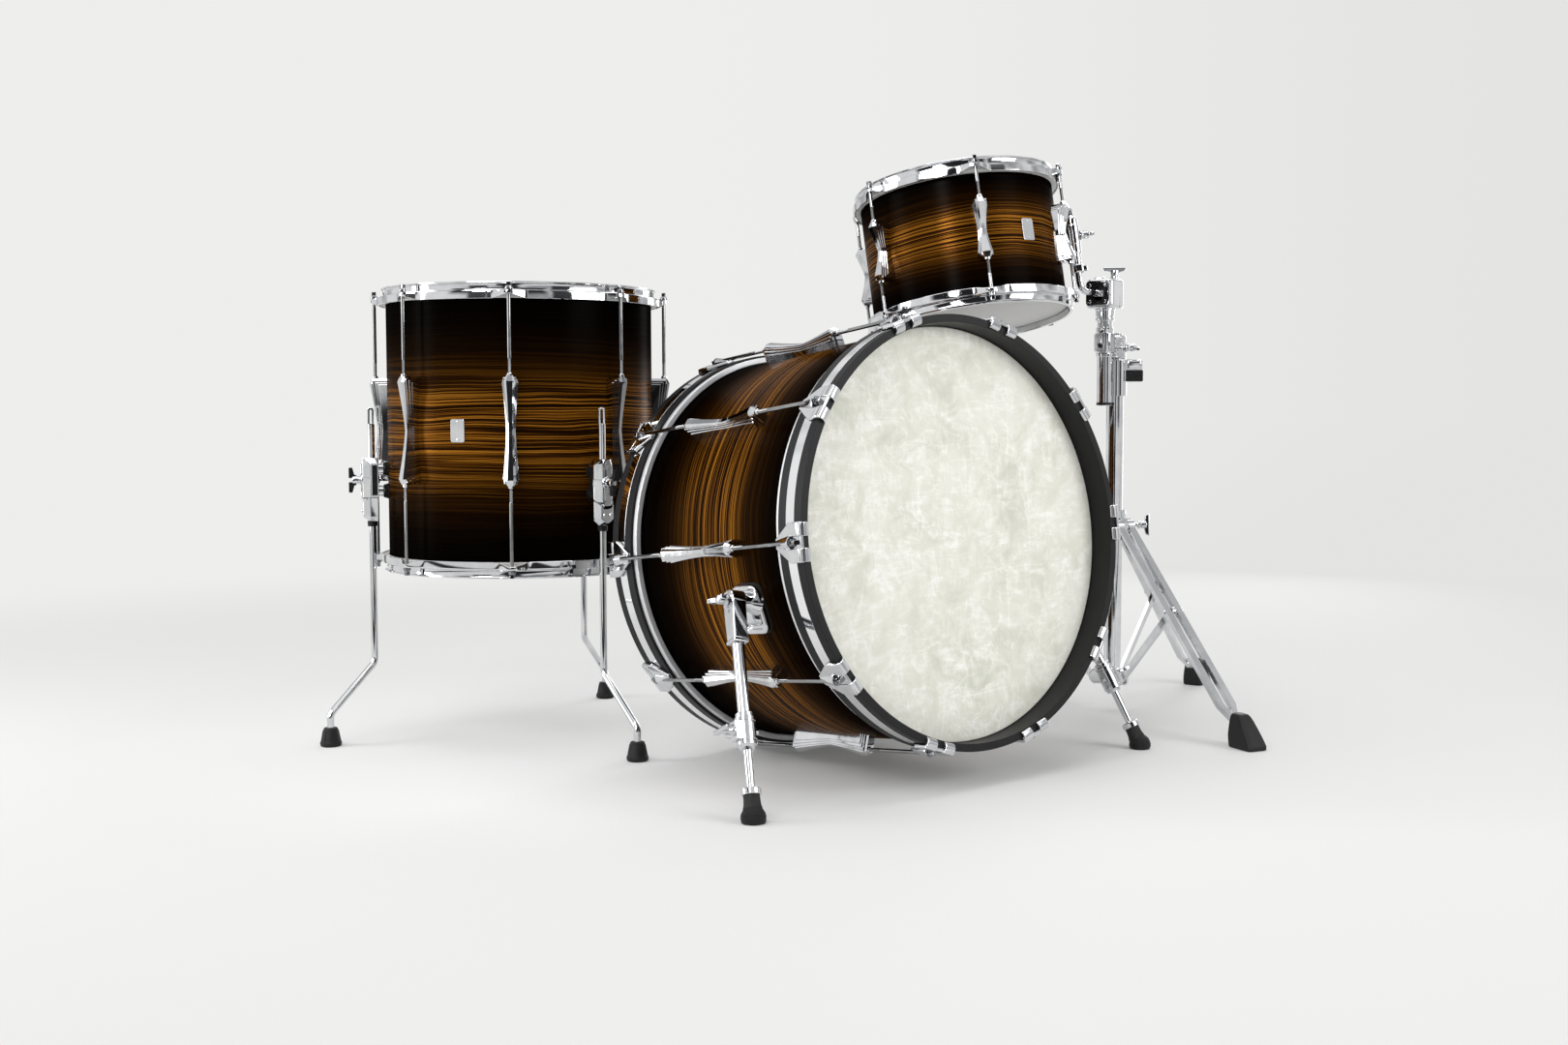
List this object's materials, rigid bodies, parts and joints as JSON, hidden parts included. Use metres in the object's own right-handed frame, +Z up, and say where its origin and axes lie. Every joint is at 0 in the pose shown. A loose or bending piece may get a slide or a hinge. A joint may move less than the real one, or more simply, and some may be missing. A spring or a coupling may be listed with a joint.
{
  "type": "acoustic drum kit",
  "caption": "Acoustic drum kit in dark burst veneer: bass drum on spurs, floor tom on sliding legs and rack tom on a folding tripod stand, with chrome hoops and bow-tie lugs.",
  "frame": {"origin": "on the floor under the middle of the kit's bounding box", "axes": "+X from the floor tom towards the stand, +Y from the audience towards the player, +Z up"},
  "size_m": [1.5255, 1.0723, 0.8877],
  "materials": {
    "veneer": "gloss lacquer, amber burst fading to near-black at the rims",
    "black_hoop": "satin black",
    "mirror_inlay": "mirror strip",
    "fibre_film": "mottled fibre texture",
    "clear_coat_film": "pale satin film",
    "ring_metal": "satin",
    "chrome": "polished chrome plate",
    "rubber": "matte black"
  },
  "bodies": {
    "bass_drum": {"bass_shell": "veneer", "bass_hoops": "black_hoop", "bass_hoop_inlays": "mirror_inlay", "bass_front_head": "fibre_film", "bass_rear_head": "clear_coat_film", "bass_head_rings": "ring_metal", "bass_lugs": "chrome", "bass_claws": "chrome", "bass_tension_rods": "chrome", "spur_brackets": "chrome"},
    "floor_tom": {"floor_tom_shell": "veneer", "floor_tom_hoops": "chrome", "floor_tom_heads": "clear_coat_film", "floor_tom_lugs": "chrome", "floor_tom_tension_rods": "chrome", "floor_tom_leg_brackets": "chrome"},
    "stand_base": {"stand_base": "chrome", "stand_height_collar": "chrome"},
    "stand_collar": {"stand_leg_collar": "chrome"},
    "stand_leg_wing": {"stand_leg_wing": "chrome"},
    "stand_upper": {"stand_upper_tube": "chrome"},
    "stand_clamp": {"stand_side_clamp": "chrome"},
    "stand_clamp_wing": {"stand_clamp_wing": "chrome"},
    "stand_post": {"stand_post": "chrome", "stand_ball_holder": "chrome"},
    "stand_ball_wing": {"stand_ball_wing": "chrome"},
    "rack_tom_arm": {"rack_tom_arm": "chrome"},
    "rack_tom": {"rack_tom_shell": "veneer", "rack_tom_hoops": "chrome", "rack_tom_heads": "clear_coat_film", "rack_tom_lugs": "chrome", "rack_tom_tension_rods": "chrome", "rack_tom_mount": "chrome"},
    "rack_tom_mount_wing": {"rack_tom_mount_wing": "chrome"},
    "spur_left": {"spur_arm_left": "chrome"},
    "spur_leg_left": {"spur_rod_left": "chrome", "spur_foot_left": "rubber"},
    "spur_wing_left": {"spur_wing_left": "chrome"},
    "spur_right": {"spur_arm_right": "chrome"},
    "spur_leg_right": {"spur_rod_right": "chrome", "spur_foot_right": "rubber"},
    "spur_wing_right": {"spur_wing_right": "chrome"},
    "floor_tom_leg_front": {"floor_tom_leg_front": "chrome", "floor_tom_foot_front": "rubber"},
    "floor_tom_wing_front": {"floor_tom_wing_front": "chrome"},
    "floor_tom_leg_left": {"floor_tom_leg_left": "chrome", "floor_tom_foot_left": "rubber"},
    "floor_tom_wing_left": {"floor_tom_wing_left": "chrome"},
    "floor_tom_leg_back": {"floor_tom_leg_back": "chrome", "floor_tom_foot_back": "rubber"},
    "floor_tom_wing_back": {"floor_tom_wing_back": "chrome"},
    "stand_leg_front": {"stand_leg_front": "chrome", "stand_boot_front": "rubber"},
    "stand_brace_front": {"stand_brace_front": "chrome"},
    "stand_leg_right": {"stand_leg_right": "chrome", "stand_boot_right": "rubber"},
    "stand_brace_right": {"stand_brace_right": "chrome"},
    "stand_leg_back": {"stand_leg_back": "chrome", "stand_boot_back": "rubber"},
    "stand_brace_back": {"stand_brace_back": "chrome"}
  },
  "joints": [
    {"name": "spur_left_fold", "type": "hinge", "parent": "bass_drum", "child": "spur_left", "pos_m": [-0.48839, -0.28954, 0.25765], "axis": [-0.9739, 0.1724, 0.1474], "range_deg": [0, 75]},
    {"name": "spur_left_extend", "type": "slide", "parent": "spur_left", "child": "spur_leg_left", "axis": [-0.2063, -0.403, -0.8916], "range_m": [-0.04, 0.05]},
    {"name": "spur_left_wing_turn", "type": "hinge", "parent": "bass_drum", "child": "spur_wing_left", "pos_m": [-0.48839, -0.28954, 0.25765], "axis": [-0.9739, 0.1724, 0.1474], "continuous": true},
    {"name": "spur_right_fold", "type": "hinge", "parent": "bass_drum", "child": "spur_right", "pos_m": [0.12039, -0.28954, 0.25765], "axis": [-0.9739, -0.1724, -0.1474], "range_deg": [0, 75]},
    {"name": "spur_right_extend", "type": "slide", "parent": "spur_right", "child": "spur_leg_right", "axis": [0.2063, -0.403, -0.8916], "range_m": [-0.04, 0.05]},
    {"name": "spur_right_wing_turn", "type": "hinge", "parent": "bass_drum", "child": "spur_wing_right", "pos_m": [0.12039, -0.28954, 0.25765], "axis": [-0.9739, -0.1724, -0.1474], "continuous": true},
    {"name": "floor_tom_place", "type": "slide", "parent": "bass_drum", "child": "floor_tom", "axis": [-1, 0, 0], "range_m": [0, 0.2]},
    {"name": "floor_tom_leg_front_slide", "type": "slide", "parent": "floor_tom", "child": "floor_tom_leg_front", "axis": [0, 0, 1], "range_m": [-0.075, 0]},
    {"name": "floor_tom_wing_front_turn", "type": "hinge", "parent": "floor_tom", "child": "floor_tom_wing_front", "pos_m": [-0.44896, 0.07541, 0.397], "axis": [0.0087, -1, 0], "continuous": true},
    {"name": "floor_tom_leg_left_slide", "type": "slide", "parent": "floor_tom", "child": "floor_tom_leg_left", "axis": [0, 0, 1], "range_m": [-0.075, 0]},
    {"name": "floor_tom_wing_left_turn", "type": "hinge", "parent": "floor_tom", "child": "floor_tom_wing_left", "pos_m": [-0.66522, 0.40215, 0.397], "axis": [-0.9171, 0.3987, 0], "continuous": true},
    {"name": "floor_tom_leg_back_slide", "type": "slide", "parent": "floor_tom", "child": "floor_tom_leg_back", "axis": [0, 0, 1], "range_m": [-0.075, 0]},
    {"name": "floor_tom_wing_back_turn", "type": "hinge", "parent": "floor_tom", "child": "floor_tom_wing_back", "pos_m": [-0.2562, 0.43793, 0.397], "axis": [0.8339, 0.5519, 0], "continuous": true},
    {"name": "stand_place", "type": "slide", "parent": "bass_drum", "child": "stand_base", "axis": [1, 0, 0], "range_m": [0, 0.2]},
    {"name": "stand_fold", "type": "slide", "parent": "stand_base", "child": "stand_collar", "axis": [0, 0, 1], "range_m": [0, 0.09451]},
    {"name": "stand_leg_front_fold", "type": "hinge", "parent": "stand_collar", "child": "stand_leg_front", "pos_m": [0.38702, -0.1944, 0.312], "axis": [0.9627, -0.2706, 0], "range_deg": [0, 26.98]},
    {"name": "stand_brace_front_fold", "type": "hinge", "parent": "stand_base", "child": "stand_brace_front", "pos_m": [0.38702, -0.1944, 0.058], "axis": [-0.9627, 0.2706, 0], "range_deg": [0, 26.98]},
    {"name": "stand_leg_right_fold", "type": "hinge", "parent": "stand_collar", "child": "stand_leg_right", "pos_m": [0.42359, -0.15871, 0.312], "axis": [-0.247, 0.969, 0], "range_deg": [0, 26.98]},
    {"name": "stand_brace_right_fold", "type": "hinge", "parent": "stand_base", "child": "stand_brace_right", "pos_m": [0.42359, -0.15871, 0.058], "axis": [0.247, -0.969, 0], "range_deg": [0, 26.98]},
    {"name": "stand_leg_back_fold", "type": "hinge", "parent": "stand_collar", "child": "stand_leg_back", "pos_m": [0.3744, -0.14489, 0.312], "axis": [-0.7157, -0.6984, 0], "range_deg": [0, 26.98]},
    {"name": "stand_brace_back_fold", "type": "hinge", "parent": "stand_base", "child": "stand_brace_back", "pos_m": [0.3744, -0.14489, 0.058], "axis": [0.7157, 0.6984, 0], "range_deg": [0, 26.98]},
    {"name": "stand_leg_wing_turn", "type": "hinge", "parent": "stand_collar", "child": "stand_leg_wing", "pos_m": [0.395, -0.166, 0.312], "axis": [0.6984, -0.7157, 0], "continuous": true},
    {"name": "stand_height", "type": "slide", "parent": "stand_base", "child": "stand_upper", "axis": [0, 0, 1], "range_m": [0, 0.15]},
    {"name": "stand_swivel", "type": "hinge", "parent": "stand_upper", "child": "stand_clamp", "pos_m": [0.395, -0.166, 0.6045], "axis": [0, 0, 1], "range_deg": [-15, 25]},
    {"name": "stand_clamp_wing_turn", "type": "hinge", "parent": "stand_clamp", "child": "stand_clamp_wing", "pos_m": [0.395, -0.166, 0.6045], "axis": [0.7581, -0.6521, 0], "continuous": true},
    {"name": "stand_post_slide", "type": "slide", "parent": "stand_clamp", "child": "stand_post", "axis": [0, 0, 1], "range_m": [-0.008, 0.06]},
    {"name": "stand_ball_wing_turn", "type": "hinge", "parent": "stand_post", "child": "stand_ball_wing", "pos_m": [0.36407, -0.1887, 0.7025], "axis": [0, 0, 1], "continuous": true},
    {"name": "rack_tom_arm_tilt", "type": "hinge", "parent": "stand_post", "child": "rack_tom_arm", "pos_m": [0.35242, -0.17926, 0.6895], "axis": [0.9954, 0.0895, -0.033], "range_deg": [-15, 15]},
    {"name": "rack_tom_lift", "type": "slide", "parent": "rack_tom_arm", "child": "rack_tom", "axis": [0, 0.1891, 0.982], "range_m": [0, 0.04]},
    {"name": "rack_tom_mount_wing_turn", "type": "hinge", "parent": "rack_tom", "child": "rack_tom_mount_wing", "pos_m": [0.29202, -0.17129, 0.78065], "axis": [0.829, -0.5491, 0.1057], "continuous": true}
  ],
  "couplings": [
    {"joint": "stand_leg_front_fold", "follows": "stand_fold", "rad_per_m": 4.9446},
    {"joint": "stand_brace_front_fold", "follows": "stand_fold", "rad_per_m": 4.9446},
    {"joint": "stand_leg_right_fold", "follows": "stand_fold", "rad_per_m": 4.9446},
    {"joint": "stand_brace_right_fold", "follows": "stand_fold", "rad_per_m": 4.9446},
    {"joint": "stand_leg_back_fold", "follows": "stand_fold", "rad_per_m": 4.9446},
    {"joint": "stand_brace_back_fold", "follows": "stand_fold", "rad_per_m": 4.9446}
  ]
}
